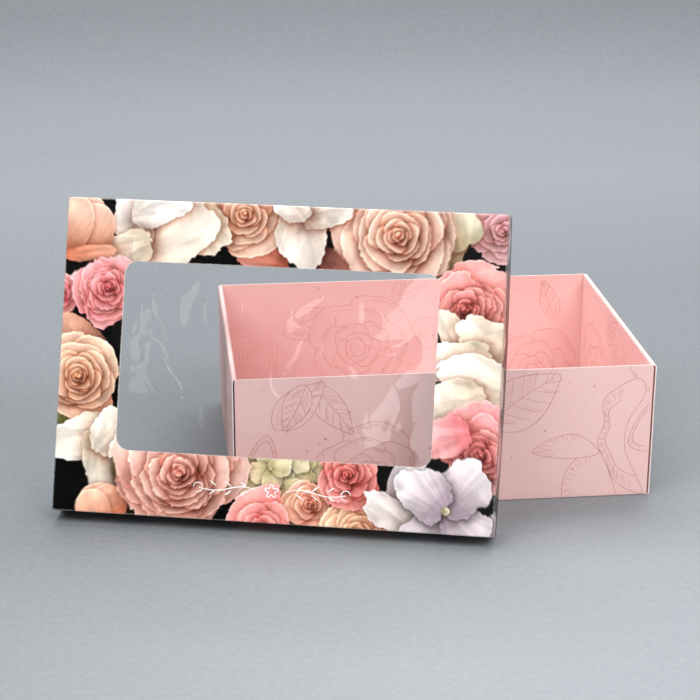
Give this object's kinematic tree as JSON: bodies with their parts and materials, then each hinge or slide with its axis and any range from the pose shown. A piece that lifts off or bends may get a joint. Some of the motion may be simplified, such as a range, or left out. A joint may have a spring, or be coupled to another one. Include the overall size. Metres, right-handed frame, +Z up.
{
  "type": "flower box",
  "caption": "Folding card flower gift box: tray with roll-over ends, and a printed lid with a clear window leaning on it.",
  "frame": {"origin": "centre of the tray's underside, on the surface that the box stands on", "axes": "+X along the tray's long side, to the right seen from the front, +Y from front to back, +Z up"},
  "size_m": [0.2991, 0.2066, 0.15],
  "materials": {
    "tray_card": "matte",
    "lid_print": "gloss",
    "lid_board": "matte",
    "window_film": "gloss"
  },
  "bodies": {
    "tray": {"tray_bottom": "tray_card", "tray_front_wall": "tray_card", "tray_back_wall": "tray_card", "tray_left_outer_panel": "tray_card", "tray_left_top_fold": "tray_card", "tray_left_front_flap": "tray_card", "tray_left_back_flap": "tray_card", "tray_right_outer_panel": "tray_card", "tray_right_top_fold": "tray_card", "tray_right_front_flap": "tray_card", "tray_right_back_flap": "tray_card"},
    "tray_left_panel": {"tray_left_inner_panel": "tray_card"},
    "tray_right_panel": {"tray_right_inner_panel": "tray_card"},
    "lid": {"lid_face": "lid_print", "lid_window_film": "window_film", "lid_lower_wall": "lid_print", "lid_upper_wall": "lid_print", "lid_left_outer_panel": "lid_print", "lid_left_rim_fold": "lid_print", "lid_left_lower_flap": "lid_board", "lid_left_upper_flap": "lid_board", "lid_right_outer_panel": "lid_print", "lid_right_rim_fold": "lid_print", "lid_right_lower_flap": "lid_board", "lid_right_upper_flap": "lid_board"},
    "lid_left_panel": {"lid_left_inner_panel": "lid_print"},
    "lid_right_panel": {"lid_right_inner_panel": "lid_print"}
  },
  "joints": [
    {"name": "lid_lift", "type": "slide", "parent": "tray", "child": "lid", "axis": [0, 0, 1], "range_m": [0, 0.1]},
    {"name": "tray_left_panel_swing", "type": "hinge", "parent": "tray", "child": "tray_left_panel", "pos_m": [-0.1025, 0, 0.06875], "axis": [0, -1, 0], "range_deg": [0, 90]},
    {"name": "tray_right_panel_swing", "type": "hinge", "parent": "tray", "child": "tray_right_panel", "pos_m": [0.1025, 0, 0.06875], "axis": [0, 1, 0], "range_deg": [0, 90]},
    {"name": "lid_left_panel_swing", "type": "hinge", "parent": "lid", "child": "lid_left_panel", "pos_m": [-0.18087, -0.0352, 0.0719], "axis": [0.0889, 0.346, 0.934], "range_deg": [0, 90]},
    {"name": "lid_right_panel_swing", "type": "hinge", "parent": "lid", "child": "lid_right_panel", "pos_m": [0.02329, -0.08766, 0.0719], "axis": [-0.0889, -0.346, -0.934], "range_deg": [0, 90]}
  ]
}
